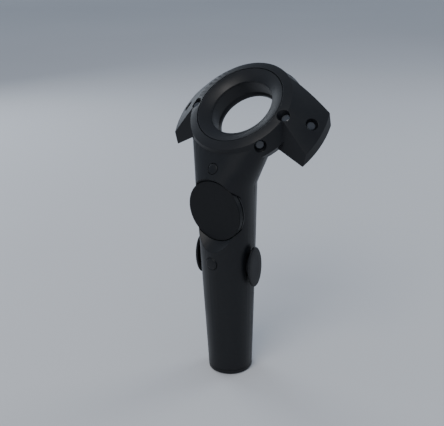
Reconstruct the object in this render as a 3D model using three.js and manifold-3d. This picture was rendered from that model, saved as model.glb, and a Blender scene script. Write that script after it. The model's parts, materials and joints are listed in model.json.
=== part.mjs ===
// A handheld motion controller: a tapered handle, a tilted ring head with two swept wings,
// a round touch pad, face buttons, side grip buttons and a rear trigger, with what they hold inside.
// Millimetres. The handle's axis is Z, its base is at z = 0, the pad side faces -Y.
import * as THREE from 'three';
import { mergeVertices } from 'three/addons/utils/BufferGeometryUtils.js';
import Module from 'manifold-3d';

const wasm = await Module();
wasm.setup();

// ---------------------------------------------------------------- driving sizes
const GAP = 0.3;                 // clearance between neighbouring pieces
const WALL = 2.2;                // shell wall

const BASE_R = 14.7;             // handle radius at the base
const MID_R = 17.8;              // handle radius at MID_Z
const MID_Z = 80;
const TOP_R = 19.6;              // handle radius where the neck begins
const NECK_Z = 132;              // where the neck leaves the handle
const HEAD_Z = 139;              // top of the rear housing
const SEAM_Y = 3.5;              // the front and rear housings meet here
const CAP_H = 3;                 // base cap thickness
const CHAMFER = 1;               // edge chamfer on the base

const RING_Y = 15.1;             // ring centre, behind the handle axis
const RING_Z = 178.9;            // ring centre height
const RING_TILT = 49.8;          // degrees the ring's axis rises above the front
const BORE_R = 20.7;             // hole through the ring
const BORE_LIP = 1;              // the hole narrows by this much at its back
const CREST_R = 29.4;            // crest of the ring's face
const LIP_R = 34.8;              // outer edge of the ring's face
const BODY_R = 38.5;             // ring body behind the lip
const RING_T = 17;               // ring thickness, crest to back
const FUNNEL = 2.7;              // depth of the funnel inside the crest
const LIP_DROP = 1.6;            // the lip lies this far behind the crest
const FLARE_TOP = 4;             // the body flares out between these depths
const FLARE_END = 12;
const FACE_T = 3.8;              // thickness of the separate face ring
const SCOOP_R = 24;              // hollow behind the hole

const WING_R = 54.4;             // outer radius of the wings
const WING_DROP = 14.7;          // how far the wings sweep back from lip to tip
const WING_T = 6;                // thickness of the wings' outer edge
const WING_REAR = 0.36;          // slope of their rear face
const WING_FRONT = 11.4;         // the wings are cut off flat at this Y in front
const WING_BACK = 36;            // and at this Y behind
const WING_WALL = 1.6;
const COVER_T = 1.2;             // rear cover of each wing

const PAD_R = 20;                // touch pad, a shallow cap
const PAD_T = 3.2;
const PAD_SKIN = 1.6;            // thickness of the cap's top
const PAD_Y = -13.5;
const PAD_Z = 116;
const PAD_TILT = 3.8;            // degrees the pad faces down
const PAD_TRAVEL = 0.6;
const PAD_FLARE = 0.95;          // the hollow round the pad widens this much per millimetre
const PAD_BASE_T = 1;            // ring the pad is guided by
const FLOOR_T = 1.5;             // floor of the hollow

const MENU_R = 3.4;
const MENU_AT = 0.55;            // menu button's place along the neck, 0 to 1
const SYSTEM_R = 4;
const SYSTEM_Z = 81.5;
const BUTTON_PROUD = 0.3;
const BUTTON_TRAVEL = 0.6;

const GRIP_H = 27.5;             // side grip buttons, tall and narrow ovals
const GRIP_W = 14;
const GRIP_T = 1.8;              // thickness of the oval plate
const GRIP_DEPTH = 7.5;          // outer face to the inner end of its stalk
const GRIP_STALK = 0.55;         // the stalk's size against the plate's
const GRIP_PROUD = 4.3;          // how far they stand out of the handle
const GRIP_Z = 78.2;
const GRIP_TRAVEL = 0.8;
const STEM_R = 3;

const TRIGGER_W = 14;
const PIVOT_Y = 12;
const PIVOT_Z = 124;
const PIN_R = 1.5;
const HUB_R = 3.4;
const HUB_W = 8;
const TRIGGER_TIP = 92;          // height of the trigger's lower end
const TRIGGER_PROUD = 7.2;       // how far it stands out of the handle
const TRIGGER_BOW = 16;          // width of the oval that rounds the trigger's back

const BATTERY_R = 8;
const BATTERY_L = 46;
const BATTERY_LOW = 14;
const BOARD_W = 16;
const BOARD_T = 1.2;
const BOARD_Y = -9.5;            // front face of the main board
const SWITCH = 5;                // side of a small push switch
const SWITCH_T = 2;
const SENSOR_R = 4;              // mouth of a sensor recess
const SENSOR_FLOOR = 3.1;        // radius at its floor
const SENSOR_DEPTH = 2.2;
const WINDOW_T = 1.1;
const POST_R = 3;
const SCREW_R = 1;
const SCREW_HEAD_R = 2.1;
const SCREW_Z = [9, 67];

const ROUND = 40;                // sides of large round pieces
const SMALL = 18;                // sides of small round pieces

// ---------------------------------------------------------------- shared helpers
const rad = THREE.MathUtils.degToRad;
const V = (x, y, z) => new THREE.Vector3(x, y, z);
const UP = V(0, 0, 1);
const FAR = 200;

function solid(geometry, matrix) {
  const g = geometry.clone();
  if (matrix) g.applyMatrix4(matrix);
  g.deleteAttribute('normal');
  g.deleteAttribute('uv');
  const merged = mergeVertices(g, 1e-4);
  const index = Array.from(merged.index.array);
  const tris = [];
  for (let i = 0; i < index.length; i += 3) {
    const [a, b, c] = index.slice(i, i + 3);
    if (a !== b && b !== c && a !== c) tris.push(a, b, c);
  }
  return new wasm.Manifold(new wasm.Mesh({
    numProp: 3,
    vertProperties: new Float32Array(merged.attributes.position.array),
    triVerts: new Uint32Array(tris),
  }));
}

function union(...solids) {
  return solids.reduce((sum, next) => sum.add(next));
}

function cut(body, ...tools) {
  return tools.reduce((rest, tool) => rest.subtract(tool), body);
}

function toGeometry(manifold) {
  const mesh = manifold.getMesh();
  const g = new THREE.BufferGeometry();
  g.setAttribute('position', new THREE.Float32BufferAttribute(mesh.vertProperties, 3));
  g.setIndex(Array.from(mesh.triVerts));
  g.computeVertexNormals();
  return g;
}

// A frame whose z axis points along `out`.
function frameAt(origin, out) {
  const turn = new THREE.Quaternion().setFromUnitVectors(UP, out.clone().normalize());
  return new THREE.Matrix4().compose(origin, turn, V(1, 1, 1));
}

// A round bar along z, from z = low to z = high.
function bar(r, low, high, sides = SMALL, rTop = r) {
  const g = new THREE.CylinderGeometry(rTop, r, high - low, sides);
  g.rotateX(Math.PI / 2);
  return g.translate(0, 0, (low + high) / 2);
}

function block(x0, x1, y0, y1, z0, z1) {
  const g = new THREE.BoxGeometry(x1 - x0, y1 - y0, z1 - z0);
  return g.translate((x0 + x1) / 2, (y0 + y1) / 2, (z0 + z1) / 2);
}

// A closed profile of [radius, height] points, turned about z. It runs counter-clockwise.
function turned(profile, sides = ROUND) {
  const points = profile.map(([r, z]) => new THREE.Vector2(r, z));
  if (profile[0][0] > 0 || profile.at(-1)[0] > 0) points.push(points[0].clone());
  return new THREE.LatheGeometry(points, sides).rotateX(Math.PI / 2);
}

// An outline in the YZ plane, drawn through `width` along x.
function sideExtrude(shape, width) {
  const g = new THREE.ExtrudeGeometry(shape, { depth: width, bevelEnabled: false, curveSegments: 10 });
  g.translate(0, 0, -width / 2);
  // shape x -> Y, shape y -> Z, depth -> X
  return g.applyMatrix4(new THREE.Matrix4().makeBasis(V(0, 1, 0), V(0, 0, 1), V(1, 0, 0)));
}

// ---------------------------------------------------------------- frames of the head
const tilt = rad(RING_TILT);
const ringOut = V(0, -Math.cos(tilt), Math.sin(tilt));
const ringUp = V(0, Math.sin(tilt), Math.cos(tilt));
const ringCentre = V(0, RING_Y, RING_Z);
const ringFrame = new THREE.Matrix4().makeBasis(V(1, 0, 0), ringUp, ringOut).setPosition(ringCentre);
const inRing = (u, v, w) => V(u, v, w).applyMatrix4(ringFrame);
const wingSlope = WING_DROP / (WING_R - LIP_R);
const wingSurface = (r) => -LIP_DROP - wingSlope * (r - LIP_R);
const wingRear = (r) => wingSurface(WING_R) - WING_T + WING_REAR * (WING_R - r);
const flareRadius = (w) => THREE.MathUtils.mapLinear(w, -FLARE_TOP, -FLARE_END, LIP_R + 0.8, BODY_R);

const handleRadius = (z) => (z < MID_Z
  ? THREE.MathUtils.mapLinear(z, 0, MID_Z, BASE_R, MID_R)
  : THREE.MathUtils.mapLinear(z, MID_Z, NECK_Z, MID_R, TOP_R));

// The neck is ruled: straight lines join the handle's top circle to a circle round the ring.
function neckPoint(s, angle, inset) {
  const c = Math.cos(angle);
  const n = Math.sin(angle);
  const low = V((TOP_R - inset) * c, (TOP_R - inset) * n, NECK_Z);
  const high = inRing((LIP_R - inset) * c, (LIP_R - inset) * n, -FLARE_TOP);
  return low.lerp(high, s);
}

function neck(inset) {
  const g = new THREE.CylinderGeometry(1, 1, 1, ROUND, 3);
  const p = g.attributes.position;
  for (let i = 0; i < p.count; i++) {
    const reach = Math.hypot(p.getX(i), p.getZ(i));
    const s = p.getY(i) + 0.5;
    const centre = neckPoint(s, 0, 0).add(neckPoint(s, Math.PI, 0)).multiplyScalar(0.5);
    const at = neckPoint(s, Math.atan2(-p.getZ(i), p.getX(i)), inset);
    const q = reach < 0.5 ? centre : at;
    p.setXYZ(i, q.x, q.y, q.z);
  }
  return solid(g);
}

// The hole through the ring, with the hollow behind it that thins the back of the neck.
function tunnel(inset) {
  const lip = BORE_R - BORE_LIP;
  return solid(turned([
    [0, -4 * RING_T], [SCOOP_R + inset, -4 * RING_T], [SCOOP_R + inset, -RING_T - 5 + inset],
    [lip + inset, -RING_T + inset], [lip + inset, -RING_T + 1.5], [BORE_R + inset, -RING_T + 3],
    [BORE_R + inset, 9], [0, 9],
  ], 56), ringFrame);
}

// ---------------------------------------------------------------- outer form and hollow
function handleForm(inset, low) {
  const profile = [[0, low]];
  if (inset === 0) profile.push([BASE_R - CHAMFER, low], [BASE_R, low + CHAMFER]);
  else profile.push([handleRadius(low) - inset, low]);
  profile.push([MID_R - inset, MID_Z], [TOP_R - inset, NECK_Z + 0.05], [0, NECK_Z + 0.05]);
  return solid(turned(profile));
}

function ringForm() {
  return solid(turned([
    [0, -RING_T], [BODY_R - 2.5, -RING_T], [BODY_R, -FLARE_END], [LIP_R + 0.8, -FLARE_TOP],
    [LIP_R, -LIP_DROP], [CREST_R, 0], [0, 0],
  ], 56), ringFrame);
}

function wingForm() {
  const brim = solid(turned([
    [LIP_R - 3, -LIP_DROP - 0.5], [LIP_R - 3, wingRear(LIP_R - 3)], [WING_R, wingRear(WING_R)],
    [WING_R, wingSurface(WING_R)], [LIP_R, -LIP_DROP], [LIP_R - 1, -LIP_DROP],
  ], 72), ringFrame);
  return brim.intersect(solid(block(-FAR, FAR, WING_FRONT, WING_BACK, 0, 2 * FAR)));
}

function wingHollow() {
  const inner = BODY_R + 2;
  const outer = WING_R - WING_WALL;
  const brim = solid(turned([
    [inner, wingSurface(inner) - WING_WALL], [inner, -2 * RING_T], [outer, -2 * RING_T],
    [outer, wingSurface(outer) - WING_WALL],
  ], 72), ringFrame);
  return brim.intersect(
    solid(block(-FAR, FAR, WING_FRONT + WING_WALL, WING_BACK - WING_WALL, 0, 2 * FAR)));
}

function wingCover(side) {
  const inner = BODY_R + 2 + GAP;
  const outer = WING_R - WING_WALL - GAP;
  const plate = solid(turned([
    [inner, wingRear(inner) + COVER_T], [inner, wingRear(inner)], [outer, wingRear(outer)],
    [outer, wingRear(outer) + COVER_T],
  ], 72), ringFrame);
  const edge = WING_WALL + GAP;
  const slab = solid(block(0, FAR, WING_FRONT + edge, WING_BACK - edge, 0, 2 * FAR));
  const half = side > 0 ? slab : slab.mirror([1, 0, 0]);
  return plate.intersect(half);
}

function ringHollow() {
  const inner = BORE_R + WALL;
  return solid(turned([
    [inner, 1], [inner, -RING_T + WALL], [BODY_R - 2 * WALL, -RING_T + WALL],
    [BODY_R - WALL, -FLARE_END], [LIP_R + 0.8 - WALL, -FACE_T - 3], [CREST_R - 1.8, -FACE_T - 1],
    [CREST_R - 1.8, 1],
  ], 48), ringFrame);
}

const faceSpace = solid(bar(CREST_R - 0.2, -FACE_T - GAP, FAR, 56), ringFrame);
const hole = tunnel(0);
const outer = cut(union(handleForm(0, 0), neck(0), ringForm(), wingForm()), hole);
const hollow = union(
  cut(union(handleForm(WALL, CAP_H), neck(WALL)), tunnel(WALL)), ringHollow());

const below = (z) => solid(block(-FAR, FAR, -FAR, FAR, -FAR, z));
const above = (z) => solid(block(-FAR, FAR, -FAR, FAR, z, FAR * 2));
const inFront = solid(block(-FAR, FAR, -FAR, SEAM_Y - GAP / 2, -FAR, FAR * 2));
const behind = solid(block(-FAR, FAR, SEAM_Y + GAP / 2, FAR, -FAR, FAR * 2));

// ---------------------------------------------------------------- places of the controls
const padOut = V(0, -Math.cos(rad(PAD_TILT)), -Math.sin(rad(PAD_TILT)));
const padFrame = frameAt(V(0, PAD_Y, PAD_Z), padOut);
const padUnder = -PAD_T - PAD_TRAVEL - GAP;      // top of the guide ring
const padFloor = padUnder - PAD_BASE_T - GAP;    // floor of the hollow

const menuPoint = neckPoint(MENU_AT, -Math.PI / 2, 0);
const menuAlong = neckPoint(1, -Math.PI / 2, 0).sub(menuPoint).normalize();
const menuOut = V(0, -menuAlong.z, menuAlong.y);
const menuFrame = frameAt(menuPoint, menuOut);
const systemFrame = frameAt(V(0, -handleRadius(SYSTEM_Z), SYSTEM_Z), V(0, -1, 0));
const gripX = handleRadius(GRIP_Z) + GRIP_PROUD;
const gripFrame = (side) => frameAt(V(side * gripX, 0, GRIP_Z), V(side, 0, 0));
const screwFrame = (z) => frameAt(V(0, handleRadius(z), z), V(0, 1, 0));

const buttonHole = (frame, r) => solid(bar(r + GAP, -WALL * 2.5, 5), frame);

// Makes a round piece of radius 1 into the grip's oval, grown all round by grow.
const ovalFrame = (side, grow = 0) => gripFrame(side).multiply(
  new THREE.Matrix4().makeScale(GRIP_H / 2 + grow, GRIP_W / 2 + grow, 1));

const stalkFrame = (side, grow = 0) => gripFrame(side).multiply(new THREE.Matrix4().makeScale(
  GRIP_STALK * GRIP_H / 2 + grow, GRIP_STALK * GRIP_W / 2 + grow, 1));

const gripHole = (side) => solid(bar(1, -gripX + 8, 4, 28), stalkFrame(side, GAP));

// ---------------------------------------------------------------- housings
const gripHoles = gripHole(1).add(gripHole(-1));
const aboveCap = outer.intersect(above(CAP_H + GAP));
const rearOuter = aboveCap.intersect(behind).intersect(below(HEAD_Z - GAP / 2));
const rearSpace = solid(block(-FAR, FAR, SEAM_Y - GAP / 2, FAR, -FAR, HEAD_Z + GAP / 2));
const frontOuter = cut(aboveCap, rearSpace);

// The hollow the pad sits in: straight beside the bezel, then widening outward.
function padHollow() {
  const r = PAD_R + GAP;
  return solid(turned([
    [0, padFloor], [r, padFloor], [r, 0], [r + 12 * PAD_FLARE, 12], [0, 12],
  ]), padFrame);
}

// The wall and floor that line that hollow.
function padLining() {
  const r = PAD_R + GAP + 1.5;
  return solid(turned([
    [0, padFloor - FLOOR_T], [r, padFloor - FLOOR_T], [r, 0], [r + 8 * PAD_FLARE, 8], [0, 8],
  ]), padFrame);
}

function frontHousing() {
  const stemHole = solid(bar(STEM_R + GAP, -18, 0), padFrame);
  const posts = SCREW_Z.map((z) => solid(
    bar(POST_R, -handleRadius(z) * 2 + 1, SEAM_Y - handleRadius(z) - GAP / 2), screwFrame(z)));
  const pilots = SCREW_Z.map((z) => solid(bar(SCREW_R + GAP, -handleRadius(z) - 8, 0), screwFrame(z)));
  const lining = padLining().intersect(frontOuter).intersect(inFront);
  const plate = solid(bar(PAD_R - 3.2, padFloor - FLOOR_T, padFloor, ROUND, PAD_R - 0.6), padFrame);
  const cups = sensors.map((s) => {
    const low = -SENSOR_DEPTH - WINDOW_T - GAP - 0.8;
    const cup = solid(bar(SENSOR_FLOOR + 0.9, low, 1, 24, SENSOR_R + 1.2), frameAt(s.at, s.out));
    return cup.intersect(outer);
  });
  const walls = cut(frontOuter, faceSpace, hollow, wingHollow());
  const lined = cut(union(walls, lining, plate), padHollow());
  const filled = cut(union(lined, ...cups, ...posts), faceSpace);
  return cut(filled, stemHole, gripHoles, buttonHole(menuFrame, MENU_R), buttonHole(systemFrame, SYSTEM_R),
    ...pilots, ...sensors.map(recess));
}

function padBase() {
  const low = padUnder - PAD_BASE_T;
  return solid(turned([
    [STEM_R + GAP, low], [PAD_R - 0.3, low], [PAD_R, low + 0.3], [PAD_R, padUnder], [STEM_R + GAP, padUnder],
  ], 48), padFrame);
}

const slotLow = TRIGGER_TIP - 4.5;
const slotHigh = PIVOT_Z + HUB_R + 2;

function rearHousing() {
  const slot = solid(block(-TRIGGER_W / 2 - 0.6, TRIGGER_W / 2 + 0.6, 0, FAR, slotLow, slotHigh));
  const earX = TRIGGER_W / 2 + 0.6;
  const ears = [-1, 1].map((side) => {
    const ear = solid(block(earX, earX + 3, PIVOT_Y - 4, PIVOT_Y + 3, PIVOT_Z - 4, PIVOT_Z + 4));
    return side > 0 ? ear : ear.mirror([1, 0, 0]);
  });
  const pinHole = solid(bar(PIN_R + GAP, -earX - 3, earX + 3), frameAt(V(0, PIVOT_Y, PIVOT_Z), V(1, 0, 0)));
  const screwHoles = SCREW_Z.map((z) => union(
    solid(bar(SCREW_R + GAP, -10, 5), screwFrame(z)),
    solid(bar(SCREW_HEAD_R + GAP, -1.3, 5), screwFrame(z))));
  const bosses = SCREW_Z.map((z) => solid(bar(POST_R, -6, -1.2), screwFrame(z)));
  const shell = union(cut(rearOuter, hollow), ...ears.map((e) => e.intersect(rearOuter)), ...bosses);
  return cut(shell, slot, pinHole, gripHoles, ...screwHoles);
}

function baseCap() {
  const disc = outer.intersect(below(CAP_H));
  const lip = solid(turned([
    [BASE_R - WALL - 2.2, CAP_H - 0.5], [BASE_R - WALL - GAP - 0.2, CAP_H - 0.5],
    [BASE_R - WALL - GAP - 0.2, CAP_H + 2.2], [BASE_R - WALL - 2.2, CAP_H + 2.2],
  ]));
  return cut(disc.add(lip), usbSpace(GAP));
}

function usbSpace(grow) {
  return solid(block(-3.8 - grow, 3.8 + grow, USB_Y - 1.5 - grow, USB_Y + 1.5 + grow, -1, CAP_H + 6));
}

const USB_Y = 6.4;

function usbPort() {
  const sleeve = solid(block(-3.8, 3.8, USB_Y - 1.5, USB_Y + 1.5, 0.6, CAP_H + 3.5));
  const mouth = solid(block(-3.3, 3.3, USB_Y - 1, USB_Y + 1, 0, CAP_H + 2.5));
  const tongue = solid(block(-2.4, 2.4, USB_Y - 0.35, USB_Y + 0.35, 1.2, CAP_H + 3));
  return union(cut(sleeve, mouth), tongue);
}

// ---------------------------------------------------------------- sensors
// Each sensor is a place on the surface and the way it looks out.
function sensorPlaces() {
  const places = [];
  const onWing = (side, u, v) => {
    const r = Math.hypot(u, v);
    const lean = Math.atan(wingSlope);
    const away = inRing(side * u / r, v / r, 0).sub(ringCentre).multiplyScalar(Math.sin(lean));
    return { at: inRing(side * u, v, wingSurface(r)), out: away.addScaledVector(ringOut, Math.cos(lean)) };
  };
  const onBody = (degrees, w) => {
    const a = rad(degrees);
    const r = flareRadius(w);
    const out = inRing(Math.cos(a), Math.sin(a), 0.36).sub(ringCentre).normalize();
    return { at: inRing(r * Math.cos(a), r * Math.sin(a), w), out };
  };
  for (const side of [-1, 1]) {
    const name = side < 0 ? 'left' : 'right';
    const turn = (degrees) => (side < 0 ? 180 - degrees : degrees);
    places.push({ name: `inner_${name}`, at: inRing(side * 34.2, -3.2, -LIP_DROP), out: ringOut });
    places.push({ name: `outer_${name}`, ...onWing(side, 48.2, 0.4) });
    places.push({ name: `flank_${name}`, ...onBody(turn(-43), -5.4) });
    places.push({ name: `crown_${name}`, ...onBody(turn(62), -7.5) });
    const a = rad(turn(28));
    const r = (BORE_R + BODY_R) / 2;
    const at = inRing(r * Math.cos(a), r * Math.sin(a), -RING_T);
    places.push({ name: `back_${name}`, at, out: ringOut.clone().negate() });
  }
  return places;
}

const sensors = sensorPlaces();

function recess(s) {
  const widen = (SENSOR_R - SENSOR_FLOOR) / SENSOR_DEPTH;
  const low = -SENSOR_DEPTH - WINDOW_T - GAP;
  return solid(turned([
    [0, low], [SENSOR_FLOOR, low], [SENSOR_FLOOR, -SENSOR_DEPTH], [SENSOR_R + widen * 4, 4], [0, 4],
  ], 24), frameAt(s.at, s.out));
}

function sensorWindow(s) {
  const r = SENSOR_FLOOR - GAP;
  return solid(turned([
    [0, -SENSOR_DEPTH - WINDOW_T], [r, -SENSOR_DEPTH - WINDOW_T], [r, -SENSOR_DEPTH - 0.3],
    [r - 0.5, -SENSOR_DEPTH], [0, -SENSOR_DEPTH],
  ], SMALL), frameAt(s.at, s.out));
}

function ringFace() {
  const rim = CREST_R - 0.2 - GAP;
  return solid(turned([
    [BORE_R, -FACE_T], [rim, -FACE_T], [rim, -0.25], [rim - 0.2, -0.05], [rim - 0.5, -0.05],
    [BORE_R + 0.6, -FUNNEL], [BORE_R, -FUNNEL - 0.4],
  ], 56), ringFrame);
}

// ---------------------------------------------------------------- controls
function trackpad() {
  const r = PAD_R;
  const cap = solid(turned([
    [0, -PAD_SKIN], [r - 1.4, -PAD_SKIN], [r - 1.4, -PAD_T], [r, -PAD_T], [r, -0.35], [r - 0.35, 0],
    [r * 0.75, -0.12], [r * 0.4, -0.3], [0, -0.4],
  ]), padFrame);
  return cap.add(solid(bar(STEM_R, padFloor - 2.4, -PAD_SKIN + 0.4), padFrame));
}

function trackpadSwitch() {
  const top = padFloor - 2.4 - PAD_TRAVEL - GAP;
  return solid(block(-SWITCH / 2, SWITCH / 2, -SWITCH / 2, SWITCH / 2, top - SWITCH_T, top), padFrame);
}

function faceButton(frame, r) {
  const skirt = -WALL - 0.9;
  return solid(turned([
    [0, skirt - 1.8], [1.5, skirt - 1.8], [1.5, skirt], [r, skirt],
    [r, BUTTON_PROUD - 0.5], [r - 0.5, BUTTON_PROUD - 0.1], [r * 0.5, BUTTON_PROUD + 0.1],
    [0, BUTTON_PROUD + 0.15],
  ], 24), frame);
}

function faceSwitch(frame) {
  const top = -WALL - 2.7 - BUTTON_TRAVEL - GAP;
  return solid(block(-SWITCH / 2, SWITCH / 2, -SWITCH / 2, SWITCH / 2, top - SWITCH_T, top), frame);
}

function gripButton(side) {
  const plate = solid(turned([
    [0, -GRIP_T], [0.94, -GRIP_T], [1, -GRIP_T + 0.5], [1, -0.6], [0.96, -0.12], [0.88, 0],
    [0.5, -0.02], [0, -0.1],
  ]), ovalFrame(side));
  const stalk = solid(bar(1, -GRIP_DEPTH, -GRIP_T + 0.5, 28), stalkFrame(side));
  return union(plate, stalk, solid(bar(STEM_R, -GRIP_DEPTH - 1.6, -GRIP_DEPTH + 0.5), gripFrame(side)));
}

function gripSwitch(side) {
  const top = -GRIP_DEPTH - 1.6 - GRIP_TRAVEL - GAP;
  return solid(block(-SWITCH / 2, SWITCH / 2, -SWITCH / 2, SWITCH / 2, top - SWITCH_T, top), gripFrame(side));
}

function trigger() {
  const surface = handleRadius(PIVOT_Z);
  const crown = surface + TRIGGER_PROUD;
  const blade = new THREE.Shape();
  blade.moveTo(PIVOT_Y, PIVOT_Z + HUB_R);
  blade.lineTo(surface - 1.5, PIVOT_Z + HUB_R);
  blade.quadraticCurveTo(surface + 3, PIVOT_Z - 1, crown - 3, PIVOT_Z - 14);
  blade.quadraticCurveTo(crown, PIVOT_Z - 21, crown - 3.5, TRIGGER_TIP);
  blade.quadraticCurveTo(crown - 6, TRIGGER_TIP - 0.5, crown - 7, TRIGGER_TIP + 2);
  blade.quadraticCurveTo(crown - 5.5, PIVOT_Z - 18, surface - 3, PIVOT_Z - 8);
  blade.lineTo(PIVOT_Y, PIVOT_Z - HUB_R);
  blade.closePath();
  const axle = frameAt(V(0, PIVOT_Y, PIVOT_Z), V(1, 0, 0));
  const wide = solid(sideExtrude(blade, TRIGGER_W));
  const room = solid(bar(HUB_R + 0.8, HUB_W / 2, TRIGGER_W), axle);
  const hub = solid(bar(HUB_R, -HUB_W / 2, HUB_W / 2, 24), axle);
  const eye = solid(bar(PIN_R + GAP, -TRIGGER_W, TRIGGER_W), axle);
  const bow = solid(bar(TRIGGER_BOW / 2, 0, FAR, 36), new THREE.Matrix4()
    .makeTranslation(0, PIVOT_Y, 0)
    .multiply(new THREE.Matrix4().makeScale(1, (crown - PIVOT_Y) / (TRIGGER_BOW / 2), 1)));
  const rounded = wide.intersect(bow);
  return cut(union(cut(rounded, room, room.mirror([1, 0, 0])), hub), eye);
}

function triggerPin() {
  const half = TRIGGER_W / 2 + 3.4;
  return solid(turned([[0, -half], [PIN_R, -half], [PIN_R, half], [0, half]], SMALL),
    frameAt(V(0, PIVOT_Y, PIVOT_Z), V(1, 0, 0)));
}

class Helix extends THREE.Curve {
  getPoint(t) {
    const a = t * SPRING_TURNS * 2 * Math.PI;
    return V(SPRING_X + t * SPRING_L, PIVOT_Y + SPRING_R * Math.cos(a), PIVOT_Z + SPRING_R * Math.sin(a));
  }
}
const SPRING_TURNS = 2.5;
const SPRING_R = 2.5;
const SPRING_X = HUB_W / 2 + 0.6;
const SPRING_L = 1.9;
const WIRE_R = 0.28;

function triggerSpring() {
  const wire = new THREE.Shape();
  wire.absarc(0, 0, WIRE_R, 0, 2 * Math.PI);
  return solid(new THREE.ExtrudeGeometry(wire, {
    extrudePath: new Helix(), steps: 36, bevelEnabled: false, curveSegments: 6,
  }));
}

// ---------------------------------------------------------------- inside
const POST_CLEAR = POST_R + 2 * GAP;

function battery() {
  return solid(turned([
    [0, BATTERY_LOW], [BATTERY_R - 0.8, BATTERY_LOW], [BATTERY_R, BATTERY_LOW + 0.8],
    [BATTERY_R, BATTERY_LOW + BATTERY_L - 0.8], [BATTERY_R - 0.8, BATTERY_LOW + BATTERY_L],
    [2.5, BATTERY_LOW + BATTERY_L], [2.5, BATTERY_LOW + BATTERY_L + 0.8], [0, BATTERY_LOW + BATTERY_L + 0.8],
  ], 32), new THREE.Matrix4().makeTranslation(0, 2.5, 0));
}

function mainBoard() {
  const board = solid(block(-BOARD_W / 2, BOARD_W / 2, BOARD_Y, BOARD_Y + BOARD_T, 13, 92));
  const holes = SCREW_Z.map((z) => solid(bar(POST_CLEAR, -FAR, FAR), screwFrame(z)));
  return cut(board, ...holes);
}

function hapticMotor() {
  return solid(turned([[0, 94], [5, 94], [5, 97.4], [4.6, 97.8], [0, 97.8]], 28),
    new THREE.Matrix4().makeTranslation(0, 1, 0));
}

function headBoard() {
  const inner = BORE_R + WALL + 1;
  const outerEdge = CREST_R + 0.8;
  return solid(turned([[inner, -10.4], [outerEdge, -10.4], [outerEdge, -9.2], [inner, -9.2]], 48), ringFrame);
}

function housingScrew(z) {
  const shank = solid(bar(SCREW_R, -handleRadius(z) - 7, -1), screwFrame(z));
  const head = solid(bar(SCREW_HEAD_R, -1.1, -0.3), screwFrame(z));
  const socket = solid(bar(0.9, -0.8, 1, 6), screwFrame(z));
  return cut(union(shank, head), socket);
}

// ---------------------------------------------------------------- assembly
const finish = {
  shell: { color: 0x1b1c20, roughness: 0.42, metalness: 0 },
  pad: { color: 0x101114, roughness: 0.3, metalness: 0 },
  button: { color: 0x131417, roughness: 0.32, metalness: 0 },
  window: { color: 0x6f7480, roughness: 0.12, metalness: 0 },
  steel: { color: 0xb9bcc0, roughness: 0.3, metalness: 1 },
  board: { color: 0x14512e, roughness: 0.5, metalness: 0 },
  cell: { color: 0x2a4f9c, roughness: 0.4, metalness: 0 },
};

const controller = new THREE.Group();

function add(name, manifold, look) {
  const mesh = new THREE.Mesh(toGeometry(manifold), new THREE.MeshStandardMaterial(finish[look]));
  mesh.name = name;
  controller.add(mesh);
}

add('front_housing', frontHousing(), 'shell');
add('rear_housing', rearHousing(), 'shell');
add('ring_face', ringFace(), 'shell');
add('base_cap', baseCap(), 'shell');
add('trackpad_guide_ring', padBase(), 'shell');
add('trackpad', trackpad(), 'pad');
add('trackpad_switch', trackpadSwitch(), 'button');
add('menu_button', faceButton(menuFrame, MENU_R), 'button');
add('menu_switch', faceSwitch(menuFrame), 'button');
add('system_button', faceButton(systemFrame, SYSTEM_R), 'button');
add('system_switch', faceSwitch(systemFrame), 'button');
add('trigger', trigger(), 'button');
add('trigger_pin', triggerPin(), 'steel');
add('trigger_spring', triggerSpring(), 'steel');
add('battery', battery(), 'cell');
add('main_board', mainBoard(), 'board');
add('head_board', headBoard(), 'board');
add('haptic_motor', hapticMotor(), 'steel');
add('usb_port', usbPort(), 'steel');
for (const side of [-1, 1]) {
  const name = side < 0 ? 'left' : 'right';
  add(`wing_cover_${name}`, wingCover(side), 'shell');
  add(`grip_button_${name}`, gripButton(side), 'button');
  add(`grip_switch_${name}`, gripSwitch(side), 'button');
}
for (const s of sensors) add(`sensor_window_${s.name}`, sensorWindow(s), 'window');
SCREW_Z.forEach((z, i) => add(`housing_screw_${i + 1}`, housingScrew(z), 'steel'));

export default controller;
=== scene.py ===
import json
import math

import bmesh
import bpy
from mathutils import Matrix, Vector

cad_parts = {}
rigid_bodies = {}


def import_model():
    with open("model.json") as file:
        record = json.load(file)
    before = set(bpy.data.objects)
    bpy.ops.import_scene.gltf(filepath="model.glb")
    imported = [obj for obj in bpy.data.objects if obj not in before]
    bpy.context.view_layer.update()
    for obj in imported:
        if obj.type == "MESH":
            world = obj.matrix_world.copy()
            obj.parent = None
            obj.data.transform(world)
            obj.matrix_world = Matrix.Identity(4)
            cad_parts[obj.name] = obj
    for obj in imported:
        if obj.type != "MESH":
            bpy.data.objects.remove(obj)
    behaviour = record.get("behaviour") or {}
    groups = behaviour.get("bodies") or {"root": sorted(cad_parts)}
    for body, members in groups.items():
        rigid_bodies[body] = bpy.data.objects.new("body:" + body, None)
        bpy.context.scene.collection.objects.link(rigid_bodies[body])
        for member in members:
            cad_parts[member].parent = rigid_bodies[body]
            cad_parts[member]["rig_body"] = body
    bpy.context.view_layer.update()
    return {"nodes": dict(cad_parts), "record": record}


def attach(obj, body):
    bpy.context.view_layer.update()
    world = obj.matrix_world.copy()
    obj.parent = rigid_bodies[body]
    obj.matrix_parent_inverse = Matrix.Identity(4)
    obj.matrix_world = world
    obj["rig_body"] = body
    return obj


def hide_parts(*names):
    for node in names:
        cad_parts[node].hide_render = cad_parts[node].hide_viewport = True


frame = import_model()
NODES = frame["nodes"]
SLOT = {s["node"]: s["material_slot"] for s in frame["record"]["subparts"]}

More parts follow.
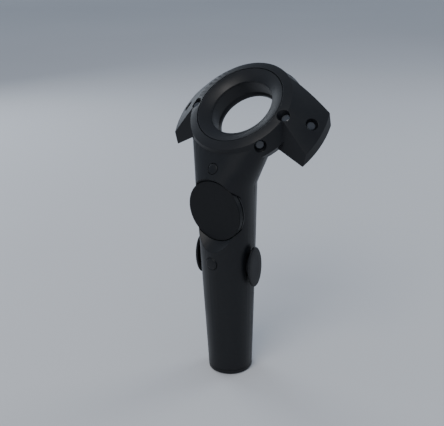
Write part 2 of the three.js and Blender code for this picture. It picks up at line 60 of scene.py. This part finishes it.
# ---------------------------------------------------------------- sizes, in metres
WELD = 2e-6                      # points closer than this are one point
SLIVER = 1e-6                    # edges shorter than this are taken out
SMOOTH_ANGLE = math.radians(24)  # surfaces that meet at less than this shade as one
BUMP_DEPTH = 0.00004             # height of the moulded grain
BEVEL_SAMPLES = 6

SMUDGE = 38.0                    # size of each pattern in the finishes, as a noise scale
SPECK = 420.0
GRAIN = 2600.0
SPECK_SHARE = 0.4                # how much of the mottling is speckle
TONE_LOW = 0.35                  # the noise values that give a finish's two ends
TONE_HIGH = 0.65
COAT_ROUGHNESS = 0.2

FLOOR_SIZE = 60
FLOOR_GRAIN = 60.0
FLOOR_TONES = ((0.66, 0.66, 0.67), (0.70, 0.70, 0.71))
FLOOR_ROUGHNESS = 0.8
SKY_TINT = (0.66, 0.76, 0.92, 1)
SKY_STRENGTH = 0.5

# place, size, power, what it points at, tint
LAMPS = {
    "key": ((0.2, -0.9, 1.3), 0.8, 9.0, (0, 0, 0.1), (1.0, 0.97, 0.93)),
    "left": ((-0.9, 0.25, 0.5), 0.5, 2.6, (0, 0, 0.12), (0.85, 0.92, 1.0)),
    "back": ((0.35, 0.95, 0.6), 0.5, 2.6, (0, 0, 0.14), (0.88, 0.94, 1.0)),
}

LENS = 63.24                     # millimetres, on a sensor of this width
SENSOR_WIDTH = 36
CAMERA_NEAR = 0.01
CAMERA_AT = (0.28441, -0.37215, 0.285)
CAMERA_RIGHT = (0.79538, 0.60565, -0.02348)
CAMERA_BACK = (0.5743, -0.7406, 0.3488)


# ---------------------------------------------------------------- materials
def node(tree, kind, at, **values):
    """A shader node, with each value set on its input of that name or else on the node."""
    made = tree.nodes.new(kind)
    made.location = at
    for key, value in values.items():
        if key in made.inputs:
            made.inputs[key].default_value = value
        else:
            setattr(made, key, value)
    return made


def ramp(tree, source, low, high):
    """A smooth change from colour low to colour high as source rises."""
    made = node(tree, "ShaderNodeValToRGB", (-300, 0))
    first, last = made.color_ramp.elements
    first.position = TONE_LOW
    last.position = TONE_HIGH
    first.color = (*low, 1)
    last.color = (*high, 1)
    tree.links.new(source, made.inputs["Fac"])
    return made.outputs["Color"]


def noise(tree, place, scale, detail, roughness=0.55):
    """A cloudy pattern of one scale, fixed to the piece."""
    made = node(tree, "ShaderNodeTexNoise", (-800, 0), Scale=scale, Detail=detail, Roughness=roughness)
    tree.links.new(place, made.inputs["Vector"])
    return made.outputs["Fac"]


def pattern_space(tree, streak):
    """The piece's own coordinates, stretched where the finish is brushed."""
    where = node(tree, "ShaderNodeTexCoord", (-1300, 0))
    scaled = node(tree, "ShaderNodeMapping", (-1100, 0))
    if streak:
        scaled.inputs["Scale"].default_value = streak
    tree.links.new(where.outputs["Object"], scaled.inputs["Vector"])
    return scaled.outputs["Vector"]


def mottled(tree, smudge, speck, low, high):
    """Colour that drifts between two tones."""
    mixed = node(tree, "ShaderNodeMix", (-550, 200), data_type="FLOAT")
    mixed.inputs[0].default_value = SPECK_SHARE
    tree.links.new(smudge, mixed.inputs[2])
    tree.links.new(speck, mixed.inputs[3])
    return ramp(tree, mixed.outputs[0], low, high)


def uneven_gloss(tree, smudge, rough):
    """Roughness that follows the smudges between two values."""
    gloss = node(tree, "ShaderNodeMapRange", (-300, -200))
    gloss.inputs["From Min"].default_value = TONE_LOW
    gloss.inputs["From Max"].default_value = TONE_HIGH
    gloss.inputs["To Min"].default_value = rough[0]
    gloss.inputs["To Max"].default_value = rough[1]
    tree.links.new(smudge, gloss.inputs["Value"])
    return gloss.outputs["Result"]


def grained(tree, fine, height, edge):
    """Normals with a fine moulded grain, and edges rounded by edge metres."""
    bump = node(tree, "ShaderNodeBump", (100, -300), Strength=height, Distance=BUMP_DEPTH)
    tree.links.new(fine, bump.inputs["Height"])
    if edge:
        soft = node(tree, "ShaderNodeBevel", (-100, -450), samples=BEVEL_SAMPLES, Radius=edge)
        tree.links.new(soft.outputs["Normal"], bump.inputs["Normal"])
    return bump.outputs["Normal"]


def finish_of(name, low, high, rough, grain=GRAIN, height=0.25, metal=0.0, edge=0.00025,
              coat=0.0, streak=None, specular=0.5):
    """A procedural finish: mottled colour, uneven gloss, fine grain and softened edges."""
    m = bpy.data.materials.new(name)
    m.use_nodes = True
    t = m.node_tree
    t.nodes.clear()
    out = node(t, "ShaderNodeOutputMaterial", (700, 0))
    shader = node(t, "ShaderNodeBsdfPrincipled", (400, 0))
    shader.inputs["Metallic"].default_value = metal
    shader.inputs["Coat Weight"].default_value = coat
    shader.inputs["Coat Roughness"].default_value = COAT_ROUGHNESS
    shader.inputs["Specular IOR Level"].default_value = specular
    place = pattern_space(t, streak)
    smudge = noise(t, place, SMUDGE, 4.0)
    speck = noise(t, place, SPECK, 2.0)
    fine = noise(t, place, grain, 2.0, 0.6)
    t.links.new(mottled(t, smudge, speck, low, high), shader.inputs["Base Color"])
    t.links.new(uneven_gloss(t, smudge, rough), shader.inputs["Roughness"])
    t.links.new(grained(t, fine, height, edge), shader.inputs["Normal"])
    t.links.new(shader.outputs["BSDF"], out.inputs["Surface"])
    return m


LOOK = {
    "shell": finish_of("shell", (0.0055, 0.0062, 0.0078), (0.0085, 0.0092, 0.011), (0.34, 0.46),
                       edge=0.0004, specular=0.32),
    "pad": finish_of("pad", (0.0052, 0.0058, 0.0070), (0.0075, 0.008, 0.0095), (0.42, 0.52),
                     grain=1800.0, height=0.15, specular=0.2),
    "button": finish_of("button", (0.0055, 0.006, 0.0075), (0.008, 0.0085, 0.010), (0.32, 0.42),
                        edge=0.0003, specular=0.3),
    "sensor_window": finish_of("sensor_window", (0.03, 0.034, 0.042), (0.05, 0.055, 0.064),
                               (0.12, 0.2), height=0.05, edge=0, coat=0.2),
    "steel": finish_of("steel", (0.45, 0.46, 0.48), (0.6, 0.61, 0.62), (0.25, 0.38), metal=1.0,
                       streak=(1, 8, 1)),
    "board": finish_of("board", (0.01, 0.07, 0.03), (0.02, 0.12, 0.05), (0.35, 0.5), height=0.1,
                       edge=0),
    "cell": finish_of("cell", (0.03, 0.09, 0.28), (0.05, 0.13, 0.36), (0.25, 0.35), height=0.05,
                      edge=0),
    "switch": finish_of("switch", (0.02, 0.02, 0.022), (0.03, 0.03, 0.033), (0.4, 0.5), edge=0),
}


# ---------------------------------------------------------------- the pieces
def welded(source):
    """The node's own surface with its shared points joined."""
    bm = bmesh.new()
    for v in source.data.vertices:
        bm.verts.new(v.co)
    bm.verts.ensure_lookup_table()
    for p in source.data.polygons:
        try:
            bm.faces.new([bm.verts[i] for i in p.vertices])
        except ValueError:
            continue
    bmesh.ops.remove_doubles(bm, verts=bm.verts, dist=WELD)
    bmesh.ops.dissolve_degenerate(bm, edges=bm.edges, dist=SLIVER)
    bmesh.ops.recalc_face_normals(bm, faces=bm.faces)
    return bm


def smooth_skin(name):
    """A skin over the node, shaded smooth except across its real edges."""
    source = NODES[name]
    bm = welded(source)
    for f in bm.faces:
        f.smooth = True
    for e in bm.edges:
        e.smooth = len(e.link_faces) == 2 and e.calc_face_angle(0) < SMOOTH_ANGLE
    mesh = bpy.data.meshes.new(name + "_skin")
    bm.to_mesh(mesh)
    bm.free()
    made = bpy.data.objects.new(name + "_skin", mesh)
    bpy.context.scene.collection.objects.link(made)
    made.data.materials.append(LOOK[SLOT[name]])
    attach(made, source["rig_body"])
    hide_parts(name)


for name in sorted(NODES):
    smooth_skin(name)


# ---------------------------------------------------------------- floor, light and camera
def floor_piece():
    bpy.ops.mesh.primitive_plane_add(size=FLOOR_SIZE, location=(0, 0, 0))
    floor = bpy.context.object
    floor.name = "floor"
    m = bpy.data.materials.new("floor_paper")
    m.use_nodes = True
    t = m.node_tree
    shader = t.nodes["Principled BSDF"]
    grain = node(t, "ShaderNodeTexNoise", (-600, 0), Scale=FLOOR_GRAIN, Detail=3.0)
    t.links.new(ramp(t, grain.outputs["Fac"], *FLOOR_TONES), shader.inputs["Base Color"])
    shader.inputs["Roughness"].default_value = FLOOR_ROUGHNESS
    floor.data.materials.append(m)


def lamp(name, at, size, power, aim, tint):
    data = bpy.data.lights.new(name, "AREA")
    data.size = size
    data.energy = power
    data.color = tint
    made = bpy.data.objects.new(name, data)
    made.location = at
    made.rotation_euler = (Vector(aim) - Vector(at)).to_track_quat("-Z", "Y").to_euler()
    bpy.context.scene.collection.objects.link(made)


def sky():
    world = bpy.data.worlds.new("studio")
    bpy.context.scene.world = world
    world.use_nodes = True
    back = world.node_tree.nodes["Background"]
    back.inputs["Color"].default_value = SKY_TINT
    back.inputs["Strength"].default_value = SKY_STRENGTH


def camera():
    data = bpy.data.cameras.new("camera")
    data.lens = LENS
    data.sensor_width = SENSOR_WIDTH
    data.sensor_fit = "HORIZONTAL"
    data.clip_start = CAMERA_NEAR
    made = bpy.data.objects.new("camera", data)
    right = Vector(CAMERA_RIGHT).normalized()
    back = Vector(CAMERA_BACK).normalized()
    up = back.cross(right).normalized()
    right = up.cross(back)
    turn = Matrix((right, up, back)).transposed().to_4x4()
    made.matrix_world = Matrix.Translation(CAMERA_AT) @ turn
    bpy.context.scene.collection.objects.link(made)
    bpy.context.scene.camera = made


floor_piece()
sky()
for name, settings in LAMPS.items():
    lamp(name, *settings)
camera()
